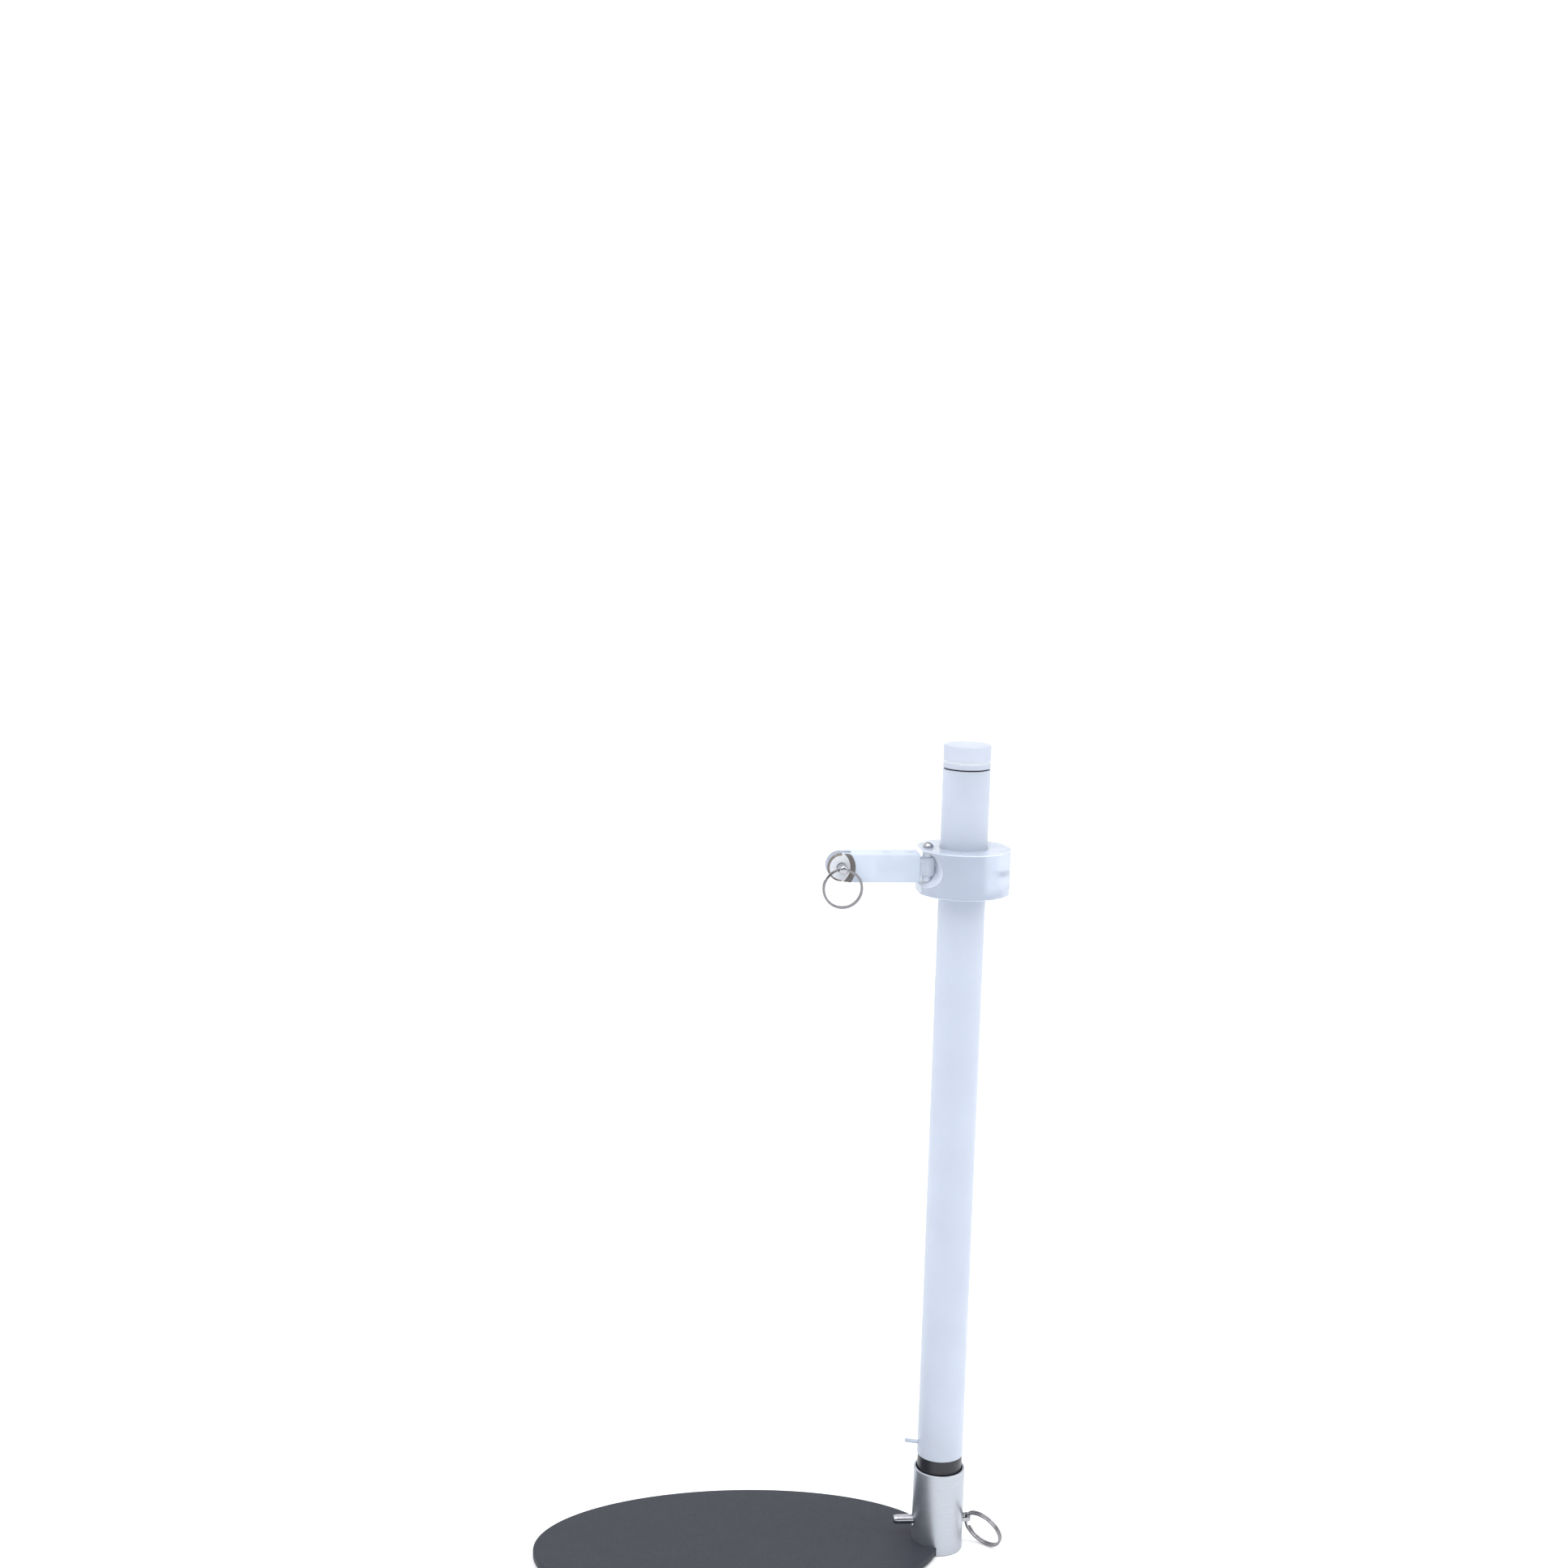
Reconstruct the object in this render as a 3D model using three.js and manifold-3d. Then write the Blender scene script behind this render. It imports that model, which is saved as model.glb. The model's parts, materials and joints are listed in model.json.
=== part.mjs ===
// Saxophone stand: an oval steel base, an aluminium socket at the oval's tip, a frosted acrylic
// mast, and a sliding collar whose hinged arm ends in a fork that holds the strap ring.
// Millimetres, +Z up. The origin is the centre of the base's underside, and the mast is at +X.

import * as THREE from 'three';
import { mergeVertices } from 'three/addons/utils/BufferGeometryUtils.js';
import Module from 'manifold-3d';

const wasm = await Module();
wasm.setup();

// ---------------------------------------------------------------- driving dimensions

const BASE_LENGTH = 222;
const BASE_WIDTH = 121;
const MAT_THICKNESS = 1.2;
const MAT_INSET = 3;
const PLATE_THICKNESS = 4;
const PLATE_BEVEL = 0.6;
const PLATE_TOP = MAT_THICKNESS + PLATE_THICKNESS;

const MAST_RADIUS = 12.5;
const MAST_BORE_RADIUS = 9.5;
const MAST_TOP = 447.7;
const CAP_HEIGHT = 12.2;
const CAP_SPIGOT = 11;
const GASKET_HEIGHT = 0.8;
const GASKET_RADIUS = 11.8;
const SPIGOT_RADIUS = 9.3;
const BOTTOM_PLUG_RADIUS = 12.2;
const BOTTOM_PLUG_TOP = 54;
const BOTTOM_PLUG_SPIGOT = 12;

const SOCKET_RADIUS = 14;
const SOCKET_BORE_RADIUS = 12.7;
const SOCKET_TOP = 46.5;
const SOCKET_BOTTOM = 0.2;
const SOCKET_PLUG_RADIUS = 12.4;
const SOCKET_PLUG_HEIGHT = 5.5;

const PEG_RADIUS = 1.1;
const PEG_LENGTH = 10.2;
const PEG_HEIGHT = 60.3;
const PEG_TILT = THREE.MathUtils.degToRad(10);

const COLLAR_RADIUS = 25;
const COLLAR_HEIGHT = 24;
const COLLAR_MID = 381;
const ARM_RISE = 1.8;
const COLLAR_BORE_RADIUS = 12.75;
const COLLAR_FLAT = 23.5;
const SLOT_RADIUS = 9.5;
const SLOT_CENTRE = 24.2;
const FRICTION_RING_OUTER = 14.1;
const FRICTION_RING_HEIGHT = 1.6;
const FRICTION_RING_OFFSET = 10.2;

const SET_SCREW_RADIUS = 1.5;
const SET_SCREW_INNER = 17.2;
const SET_SCREW_OUTER = 24.6;
const SET_SCREW_DROP = 1.2;

const PIVOT_OFFSET = 19;
const PIVOT_SCREW_RADIUS = 1.5;
const SPACER_RADIUS = 2.8;
const INSERT_RADIUS = 2.6;
const KNUCKLE_RADIUS = 4;
const POCKET_RADIUS = 4.3;
const KNUCKLE_HEIGHT = 10.4;
const KNUCKLE_NECK = 7.4;

const ARM_SIZE = 15;
const ARM_START = 5.1;
const ARM_BEVEL = 0.5;
const FORK_REACH = 46.2;
const FORK_GAP = 5.2;
const FORK_GAP_BOTTOM = 39;
const EAR_WIDTH = 10;
const COVE_RADIUS = 2.5;
const COVE_REACH = 12;
const COVE_CENTRE = FORK_REACH + 5;
const TENON_RADIUS = 4.5;
const TENON_END = 27;

const FORK_PIN_RADIUS = 2.5;
const FORK_PIN_FRONT = -13;
const FORK_PIN_BACK = 9.5;
const FORK_RING_HOLE = -10.4;
const FORK_RING_RADIUS = 10;

const SOCKET_PIN_RADIUS = 2.5;
const SOCKET_PIN_HEIGHT = 15.6;
const SOCKET_PIN_TIP = -24.6;
const SOCKET_PIN_END = 18.7;
const SOCKET_RING_HOLE = 16.2;
const SOCKET_RING_RADIUS = 11.2;
const SOCKET_RING_TURN = THREE.MathUtils.degToRad(-58);
const SOCKET_RING_SWING = THREE.MathUtils.degToRad(42);
const RING_HALF_WIDTH = 0.7;
const RING_HALF_HEIGHT = 0.95;
const RING_HOLE_RADIUS = 1.5;

const RUNNING_GAP = 0.2;
const FACE_GAP = 0.1;
const OVERSHOOT = 5;
const FINE = 64;
const MEDIUM = 32;
const COARSE = 16;

// Where each arm dowel stands, measured from the pivot, and its radius.
const ARM_DOWELS = [
  { name: 'arm_dowel_inner', reach: 10.2, radius: 2.3 },
  { name: 'arm_dowel_outer', reach: 22.1, radius: 1.9 },
];
const DOWEL_BOTTOM = -5.8;
const DOWEL_CROWN = 0.5;

// The base screws rise through the plate into the socket's plug, inside the mast's circle.
const BASE_SCREWS = [
  { name: 'base_screw_front', y: -5.5 },
  { name: 'base_screw_back', y: 5.5 },
];
const BASE_SCREW_SETBACK = 6;
const BASE_SCREW_RADIUS = 1.9;
const BASE_SCREW_HEAD_RADIUS = 3.6;
const BASE_SCREW_HEAD_HEIGHT = 2;
const BASE_SCREW_END = 9.6;

// ---------------------------------------------------------------- materials

const finish = (color, roughness, metalness = 0, extra = {}) =>
  new THREE.MeshStandardMaterial({ color, roughness, metalness, ...extra });

const powderCoat = finish(0x5a5c66, 0.75, 0.1);
const matRubber = finish(0x1d1d20, 0.9);
const aluminium = finish(0xc9ccd2, 0.4, 1);
const steel = finish(0x8f9096, 0.25, 1);
const frosted = finish(0xd8e1f3, 0.55, 0, { transparent: true, opacity: 0.85 });
const clearAcrylic = finish(0xdfe6f5, 0.15, 0, { transparent: true, opacity: 0.6 });
const blackAcetal = finish(0x121316, 0.4);
const nylon = finish(0xe9ebee, 0.5);

// ---------------------------------------------------------------- solids and booleans

/** A closed three.js geometry as a manifold solid. */
function solid(geometry) {
  const bare = geometry.clone();
  bare.deleteAttribute('normal');
  bare.deleteAttribute('uv');
  const merged = mergeVertices(bare, 1e-4);
  const mesh = new wasm.Mesh({
    numProp: 3,
    vertProperties: Float32Array.from(merged.attributes.position.array),
    triVerts: Uint32Array.from(merged.index.array),
  });
  return new wasm.Manifold(mesh);
}

/** A manifold solid as a three.js geometry. */
function geometryOf(body) {
  const { vertProperties, triVerts } = body.getMesh();
  const geometry = new THREE.BufferGeometry();
  geometry.setAttribute('position', new THREE.BufferAttribute(Float32Array.from(vertProperties), 3));
  geometry.setIndex(new THREE.BufferAttribute(Uint32Array.from(triVerts), 1));
  geometry.computeVertexNormals();
  return geometry;
}

/** The first geometry with all the others cut out of it. */
function cut(geometry, ...tools) {
  const body = tools.reduce((rest, tool) => rest.subtract(solid(tool)), solid(geometry));
  return geometryOf(body);
}

/** All the geometries joined into one. */
function join(...geometries) {
  return geometryOf(geometries.map(solid).reduce((sum, next) => sum.add(next)));
}

/** A turned piece about Z. The profile is [radius, z] pairs, from the bottom up on the outside. */
function turned(profile, segments = FINE) {
  const points = profile.map(([radius, z]) => new THREE.Vector2(radius, z));
  return new THREE.LatheGeometry(points, segments).rotateX(Math.PI / 2);
}

/** A solid disc or rod about Z, from z = low to z = high. */
function disc(radius, low, high, segments = FINE) {
  return turned([[0, low], [radius, low], [radius, high], [0, high]], segments);
}

/** A ring about Z with a rectangular section. */
function ring(inner, outer, low, high, segments = FINE) {
  return turned([[inner, low], [outer, low], [outer, high], [inner, high], [inner, low]], segments);
}

const turnToX = (geometry) => geometry.rotateY(Math.PI / 2);
const turnToY = (geometry) => geometry.rotateX(-Math.PI / 2);

/** A block between two corners. */
function block([x0, y0, z0], [x1, y1, z1]) {
  const box = new THREE.BoxGeometry(x1 - x0, y1 - y0, z1 - z0);
  return box.translate((x0 + x1) / 2, (y0 + y1) / 2, (z0 + z1) / 2);
}

/** The oval of the base, grown outwards by an offset. */
function oval(offset) {
  const shape = new THREE.Shape();
  shape.absellipse(0, 0, BASE_LENGTH / 2 + offset, BASE_WIDTH / 2 + offset, 0, 2 * Math.PI);
  return shape;
}

/** A shape in the XY plane raised from z = low to z = high, with an optional bevelled edge. */
function raised(shape, low, high, bevel = 0, curveSegments = 48) {
  const geometry = new THREE.ExtrudeGeometry(shape, {
    depth: high - low - 2 * bevel,
    curveSegments,
    bevelEnabled: bevel > 0,
    bevelThickness: bevel,
    bevelSize: bevel,
    bevelOffset: -bevel,
    bevelSegments: 1,
  });
  return geometry.translate(0, 0, low + bevel);
}

function mesh(name, geometry, material, position = [0, 0, 0]) {
  const piece = new THREE.Mesh(geometry, material);
  piece.name = name;
  piece.position.set(...position);
  return piece;
}

function group(position, ...children) {
  const frame = new THREE.Group();
  frame.position.set(...position);
  frame.add(...children);
  return frame;
}

// ---------------------------------------------------------------- base and socket

const MAST_X = BASE_LENGTH / 2;

/** A countersunk screw about Z, head down, standing on z = MAT_THICKNESS, grown by a clearance. */
function baseScrewShape(grow) {
  const headTop = MAT_THICKNESS + BASE_SCREW_HEAD_HEIGHT;
  const head = BASE_SCREW_HEAD_RADIUS + grow;
  const shank = BASE_SCREW_RADIUS + grow;
  const low = MAT_THICKNESS - (grow > 0 ? OVERSHOOT : 0);
  const profile = [[0, low], [head, low], [head, MAT_THICKNESS], [shank, headTop]];
  return turned([...profile, [shank, BASE_SCREW_END + grow], [0, BASE_SCREW_END + grow]], MEDIUM);
}

function basePlate() {
  const plate = raised(oval(0), MAT_THICKNESS, PLATE_TOP, PLATE_BEVEL);
  const holes = BASE_SCREWS.map(({ y }) =>
    baseScrewShape(RUNNING_GAP).translate(MAST_X - BASE_SCREW_SETBACK, y, 0));
  return cut(plate, ...holes);
}

function baseScrew() {
  const hexKey = disc(1.4, MAT_THICKNESS - OVERSHOOT, MAT_THICKNESS + 1.4, 6);
  return cut(baseScrewShape(0), hexKey);
}

/** Half of the tube stands on the plate, and the other half hangs down past the plate's tip. */
function socketTube() {
  const tube = ring(SOCKET_BORE_RADIUS, SOCKET_RADIUS, SOCKET_BOTTOM, SOCKET_TOP);
  const step = raised(oval(RUNNING_GAP), -OVERSHOOT, PLATE_TOP).translate(-MAST_X, 0, 0);
  return cut(tube, step, crossHole());
}

function crossHole() {
  const hole = disc(SOCKET_PIN_RADIUS + RUNNING_GAP, -2 * SOCKET_RADIUS, 2 * SOCKET_RADIUS, MEDIUM);
  return turnToX(hole).translate(0, 0, SOCKET_PIN_HEIGHT);
}

const SOCKET_PLUG_TOP = PLATE_TOP + SOCKET_PLUG_HEIGHT;

function socketPlug() {
  const plug = disc(SOCKET_PLUG_RADIUS, PLATE_TOP, SOCKET_PLUG_TOP);
  const holes = BASE_SCREWS.map(({ y }) =>
    disc(BASE_SCREW_RADIUS + RUNNING_GAP, 0, 2 * SOCKET_PLUG_TOP, MEDIUM)
      .translate(-BASE_SCREW_SETBACK, y, 0));
  return cut(plug, ...holes);
}

// ---------------------------------------------------------------- mast

const MAST_BOTTOM = SOCKET_PLUG_TOP + RUNNING_GAP;
const CAP_BOTTOM = MAST_TOP - CAP_HEIGHT;
const TUBE_TOP = CAP_BOTTOM - GASKET_HEIGHT;

/** A pin or hole along the peg's tilted axis, starting at the mast's bore and running to -X. */
function pegAxis(geometry) {
  const tilted = geometry.rotateY(-Math.PI / 2 + PEG_TILT);
  return tilted.translate(-MAST_BORE_RADIUS - FACE_GAP, 0, PEG_HEIGHT);
}

function mastTube() {
  const tube = ring(MAST_BORE_RADIUS, MAST_RADIUS, BOTTOM_PLUG_TOP + FACE_GAP, TUBE_TOP);
  return cut(tube, pegAxis(disc(PEG_RADIUS + RUNNING_GAP, -OVERSHOOT, OVERSHOOT, COARSE)));
}

/** A black foot that fills the socket, with a spigot up into the tube. */
function mastBottomPlug() {
  const spigotTop = BOTTOM_PLUG_TOP + BOTTOM_PLUG_SPIGOT;
  const plug = turned([
    [0, MAST_BOTTOM],
    [BOTTOM_PLUG_RADIUS, MAST_BOTTOM],
    [BOTTOM_PLUG_RADIUS, BOTTOM_PLUG_TOP],
    [SPIGOT_RADIUS, BOTTOM_PLUG_TOP],
    [SPIGOT_RADIUS, spigotTop],
    [0, spigotTop],
  ]);
  return cut(plug, crossHole());
}

function mastCap() {
  const edge = 0.7;
  return turned([
    [0, CAP_BOTTOM - CAP_SPIGOT],
    [SPIGOT_RADIUS, CAP_BOTTOM - CAP_SPIGOT],
    [SPIGOT_RADIUS, CAP_BOTTOM],
    [MAST_RADIUS, CAP_BOTTOM],
    [MAST_RADIUS, MAST_TOP - edge],
    [MAST_RADIUS - edge, MAST_TOP],
    [0, MAST_TOP],
  ]);
}

function restPeg() {
  const bore = disc(PEG_RADIUS / 2, PEG_LENGTH - 3, PEG_LENGTH + OVERSHOOT, COARSE);
  return pegAxis(cut(disc(PEG_RADIUS, 0, PEG_LENGTH, COARSE), bore));
}

// ---------------------------------------------------------------- pins and split rings

/** A pin about Z with a rounded tip at the top, and a cross hole along X for its ring. */
function pullPin(radius, low, high, holeHeight) {
  const tip = 1.2;
  const edge = 0.4;
  const shaft = turned([
    [0, low],
    [radius - edge, low],
    [radius, low + edge],
    [radius, high - tip],
    [radius - tip / 3, high - tip / 3],
    [radius - tip, high],
    [0, high],
  ], MEDIUM);
  const hole = turnToX(disc(RING_HOLE_RADIUS, -OVERSHOOT, OVERSHOOT, COARSE));
  return cut(shaft, hole.translate(0, 0, holeHeight));
}

/** A ring about Z with rounded edges, moved so that its wire passes through the origin. */
function splitRing(radius) {
  const edge = 0.3;
  const inner = radius - RING_HALF_WIDTH;
  const outer = radius + RING_HALF_WIDTH;
  const profile = [
    [inner + edge, -RING_HALF_HEIGHT],
    [outer - edge, -RING_HALF_HEIGHT],
    [outer, -RING_HALF_HEIGHT + edge],
    [outer, RING_HALF_HEIGHT - edge],
    [outer - edge, RING_HALF_HEIGHT],
    [inner + edge, RING_HALF_HEIGHT],
    [inner, RING_HALF_HEIGHT - edge],
    [inner, -RING_HALF_HEIGHT + edge],
    [inner + edge, -RING_HALF_HEIGHT],
  ];
  return turned(profile, 40).translate(radius, 0, 0);
}

/** The pin is turned about its own axis, so its cross hole slopes down to the front. */
function socketPin() {
  const pin = pullPin(SOCKET_PIN_RADIUS, -SOCKET_PIN_END, -SOCKET_PIN_TIP, -SOCKET_RING_HOLE);
  return pin.rotateZ(Math.PI / 2).rotateY(-Math.PI / 2).rotateX(SOCKET_RING_TURN);
}

/** The ring swings down about the cross hole until its low side is just clear of the floor. */
function socketPinRing() {
  return splitRing(SOCKET_RING_RADIUS).rotateY(SOCKET_RING_SWING).rotateX(SOCKET_RING_TURN);
}

function forkPin() {
  return pullPin(FORK_PIN_RADIUS, FORK_PIN_FRONT, FORK_PIN_BACK, FORK_RING_HOLE).rotateX(-Math.PI / 2);
}

/** The ring hangs straight down from the pin, in the plane of the arm. */
function forkPinRing() {
  return splitRing(FORK_RING_RADIUS).rotateY(Math.PI / 2).rotateZ(Math.PI / 2);
}

// ---------------------------------------------------------------- collar

const COLLAR_HALF = COLLAR_HEIGHT / 2;

// Heights from the arm's middle: the collar's two end faces, and the lips' faces at the pivot.
const LIP_TOP = COLLAR_HALF - ARM_RISE;
const LIP_BOTTOM = -COLLAR_HALF - ARM_RISE;
const LIP_FACE = 8;

/** A slot with a round bottom, open to -X and running right through along Y. */
function knuckleSlot() {
  const bottom = turnToY(disc(SLOT_RADIUS, -2 * COLLAR_RADIUS, 2 * COLLAR_RADIUS, FINE));
  const mouth = block(
    [-2 * COLLAR_RADIUS, -2 * COLLAR_RADIUS, -SLOT_RADIUS],
    [-SLOT_CENTRE, 2 * COLLAR_RADIUS, SLOT_RADIUS],
  );
  return join(bottom.translate(-SLOT_CENTRE, 0, 0), mouth).translate(0, 0, ARM_RISE);
}

function frictionGroove(middle) {
  const half = FRICTION_RING_HEIGHT / 2 + FACE_GAP;
  return ring(MAST_RADIUS, FRICTION_RING_OUTER + FACE_GAP, middle - half, middle + half);
}

function collar() {
  const edge = 0.6;
  const outside = turned([
    [COLLAR_BORE_RADIUS, -COLLAR_HALF],
    [COLLAR_RADIUS - edge, -COLLAR_HALF],
    [COLLAR_RADIUS, -COLLAR_HALF + edge],
    [COLLAR_RADIUS, COLLAR_HALF - edge],
    [COLLAR_RADIUS - edge, COLLAR_HALF],
    [COLLAR_BORE_RADIUS, COLLAR_HALF],
    [COLLAR_BORE_RADIUS, -COLLAR_HALF],
  ]);
  const flat = block(
    [-2 * COLLAR_RADIUS, -COLLAR_RADIUS, -COLLAR_HEIGHT],
    [-COLLAR_FLAT, COLLAR_RADIUS, COLLAR_HEIGHT],
  );
  const slotted = cut(outside, knuckleSlot(), flat);
  const setScrewHole = turnToX(
    disc(SET_SCREW_RADIUS + RUNNING_GAP, MAST_RADIUS, 2 * COLLAR_RADIUS, COARSE),
  );
  const pivotHole = disc(PIVOT_SCREW_RADIUS + RUNNING_GAP, -COLLAR_HEIGHT, COLLAR_HEIGHT, COARSE);
  const insertHole = disc(INSERT_RADIUS + FACE_GAP, -COLLAR_HEIGHT, -LIP_FACE + RUNNING_GAP, COARSE);
  const pocket = disc(POCKET_RADIUS, -LIP_FACE, LIP_FACE, MEDIUM);
  return cut(
    slotted,
    setScrewHole.translate(0, 0, -SET_SCREW_DROP),
    pivotHole.translate(-PIVOT_OFFSET, 0, ARM_RISE),
    insertHole.translate(-PIVOT_OFFSET, 0, ARM_RISE),
    pocket.translate(-PIVOT_OFFSET, 0, ARM_RISE),
    frictionGroove(FRICTION_RING_OFFSET),
    frictionGroove(-FRICTION_RING_OFFSET),
  );
}

/** A nylon ring with rounded corners that drags lightly on the mast. */
function frictionRing(middle) {
  const half = FRICTION_RING_HEIGHT / 2;
  const inner = MAST_RADIUS + FACE_GAP;
  const corner = 0.4;
  return turned([
    [inner + corner, middle - half],
    [FRICTION_RING_OUTER - corner, middle - half],
    [FRICTION_RING_OUTER, middle - half + corner],
    [FRICTION_RING_OUTER, middle + half - corner],
    [FRICTION_RING_OUTER - corner, middle + half],
    [inner + corner, middle + half],
    [inner, middle + half - corner],
    [inner, middle - half + corner],
    [inner + corner, middle - half],
  ]);
}

function setScrew() {
  const hexKey = disc(0.85, SET_SCREW_OUTER - 1.6, SET_SCREW_OUTER + OVERSHOOT, 6);
  return turnToX(cut(disc(SET_SCREW_RADIUS, SET_SCREW_INNER, SET_SCREW_OUTER, COARSE), hexKey));
}

function setScrewPad() {
  return turnToX(disc(SET_SCREW_RADIUS, MAST_RADIUS + 0.4, SET_SCREW_INNER - FACE_GAP, COARSE));
}

// ---------------------------------------------------------------- pivot

function pivotScrew() {
  const head = 2.8;
  const crown = LIP_TOP + FACE_GAP;
  const end = LIP_BOTTOM + FACE_GAP;
  const body = turned([
    [0, end],
    [PIVOT_SCREW_RADIUS, end],
    [PIVOT_SCREW_RADIUS, crown],
    [head, crown],
    [head, crown + 0.9],
    [head * 0.82, crown + 1.7],
    [head * 0.5, crown + 2.1],
    [0, crown + 2.2],
  ], MEDIUM);
  return cut(body, disc(1.2, crown + 0.8, crown + OVERSHOOT, 6));
}

function pivotInsert() {
  const flange = LIP_FACE + FACE_GAP;
  return ring(PIVOT_SCREW_RADIUS + FACE_GAP, INSERT_RADIUS, LIP_BOTTOM, -flange, COARSE);
}

/** The spacer that fills the space between one lip of the collar and the knuckle. */
function pivotSpacer() {
  const low = KNUCKLE_HEIGHT / 2 + FACE_GAP;
  return ring(PIVOT_SCREW_RADIUS + FACE_GAP, SPACER_RADIUS, low, LIP_FACE - FACE_GAP, MEDIUM);
}

// ---------------------------------------------------------------- arm

/** A barrel about the pivot, a neck, and a round tenon that enters the arm. */
function knuckle() {
  const half = KNUCKLE_HEIGHT / 2;
  const edge = 0.8;
  const barrel = turned([
    [0, -half],
    [KNUCKLE_RADIUS - edge, -half],
    [KNUCKLE_RADIUS, -half + edge],
    [KNUCKLE_RADIUS, half - edge],
    [KNUCKLE_RADIUS - edge, half],
    [0, half],
  ], MEDIUM);
  const neck = block(
    [-ARM_START + RUNNING_GAP, -KNUCKLE_NECK / 2, -half + edge],
    [0, KNUCKLE_NECK / 2, half - edge],
  );
  const tenon = turnToX(disc(TENON_RADIUS, -TENON_END, -KNUCKLE_RADIUS, MEDIUM));
  const screwHole = disc(PIVOT_SCREW_RADIUS + RUNNING_GAP, -COLLAR_HEIGHT, COLLAR_HEIGHT, COARSE);
  return cut(join(barrel, neck, tenon), screwHole, ...dowelHoles());
}

function dowelHoles() {
  return ARM_DOWELS.map(({ reach, radius }) =>
    disc(radius + FACE_GAP, DOWEL_BOTTOM - FACE_GAP, ARM_SIZE, COARSE).translate(-reach, 0, 0));
}

function armDowel(radius) {
  const top = ARM_SIZE / 2;
  return turned([
    [0, DOWEL_BOTTOM],
    [radius, DOWEL_BOTTOM],
    [radius, top],
    [radius * 0.7, top + DOWEL_CROWN * 0.75],
    [0, top + DOWEL_CROWN],
  ], COARSE);
}

/** The arm's side view: square where it meets the collar and round at the fork. */
function armOutline() {
  const half = ARM_SIZE / 2;
  const shape = new THREE.Shape();
  shape.moveTo(-ARM_START, -half);
  shape.lineTo(-ARM_START, half);
  shape.lineTo(-FORK_REACH, half);
  shape.absarc(-FORK_REACH, 0, half, Math.PI / 2, (3 * Math.PI) / 2);
  return shape;
}

/** A round cutter with a rounded corner, which thins the fork's ears and leaves a cove. */
function earCutter() {
  const corner = Array.from({ length: 5 }, (_, i) => {
    const angle = (Math.PI / 2) * (i / 4);
    return [
      COVE_REACH - COVE_RADIUS + COVE_RADIUS * Math.sin(angle),
      COVE_RADIUS - COVE_RADIUS * Math.cos(angle),
    ];
  });
  return turned([[0, 0], ...corner, [COVE_REACH, 2 * COVE_REACH], [0, 2 * COVE_REACH]]);
}

function arm() {
  const half = ARM_SIZE / 2;
  const bar = raised(armOutline(), -half, half, ARM_BEVEL, MEDIUM).rotateX(Math.PI / 2);
  const tenonHole = turnToX(disc(TENON_RADIUS + RUNNING_GAP, -TENON_END - RUNNING_GAP, 0, MEDIUM));
  const gapEnd = turnToY(disc(ARM_SIZE, -FORK_GAP / 2, FORK_GAP / 2, FINE));
  const gap = gapEnd.translate(-FORK_GAP_BOTTOM - ARM_SIZE, 0, 0);
  const backCutter = turnToY(earCutter()).translate(-COVE_CENTRE, EAR_WIDTH / 2, 0);
  const frontCutter = earCutter().rotateX(Math.PI / 2).translate(-COVE_CENTRE, -EAR_WIDTH / 2, 0);
  const pinHole = turnToY(disc(FORK_PIN_RADIUS + RUNNING_GAP, -ARM_SIZE, ARM_SIZE, MEDIUM));
  return cut(
    bar,
    tenonHole,
    gap,
    backCutter,
    frontCutter,
    pinHole.translate(-FORK_REACH, 0, 0),
    ...dowelHoles(),
  );
}

// ---------------------------------------------------------------- assembly

const baseGroup = group(
  [0, 0, 0],
  mesh('base_mat', raised(oval(-MAT_INSET), 0, MAT_THICKNESS), matRubber),
  mesh('base_plate', basePlate(), powderCoat),
);
for (const { name, y } of BASE_SCREWS) {
  baseGroup.add(mesh(name, baseScrew(), steel, [MAST_X - BASE_SCREW_SETBACK, y, 0]));
}

const mastGroup = group(
  [MAST_X, 0, 0],
  mesh('socket_tube', socketTube(), aluminium),
  mesh('socket_plug', socketPlug(), aluminium),
  mesh('mast_tube', mastTube(), frosted),
  mesh('mast_bottom_plug', mastBottomPlug(), blackAcetal),
  mesh('mast_gasket', ring(MAST_BORE_RADIUS, GASKET_RADIUS, TUBE_TOP, CAP_BOTTOM), matRubber),
  mesh('mast_cap', mastCap(), clearAcrylic),
  mesh('rest_peg', restPeg(), clearAcrylic),
  mesh('socket_pin', socketPin(), steel, [0, 0, SOCKET_PIN_HEIGHT]),
  mesh('socket_pin_ring', socketPinRing(), steel, [SOCKET_RING_HOLE, 0, SOCKET_PIN_HEIGHT]),
);

const armGroup = group(
  [-PIVOT_OFFSET, 0, ARM_RISE],
  mesh('pivot_screw', pivotScrew(), steel),
  mesh('pivot_insert', pivotInsert(), steel),
  mesh('pivot_spacer_upper', pivotSpacer(), nylon),
  mesh('pivot_spacer_lower', pivotSpacer().rotateX(Math.PI), nylon),
  mesh('knuckle', knuckle(), frosted),
  mesh('arm', arm(), frosted),
  mesh('fork_pin', forkPin(), steel, [-FORK_REACH, 0, 0]),
  mesh('fork_pin_ring', forkPinRing(), steel, [-FORK_REACH, FORK_RING_HOLE, 0]),
);
for (const { name, reach, radius } of ARM_DOWELS) {
  armGroup.add(mesh(name, armDowel(radius), clearAcrylic, [-reach, 0, 0]));
}

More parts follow.
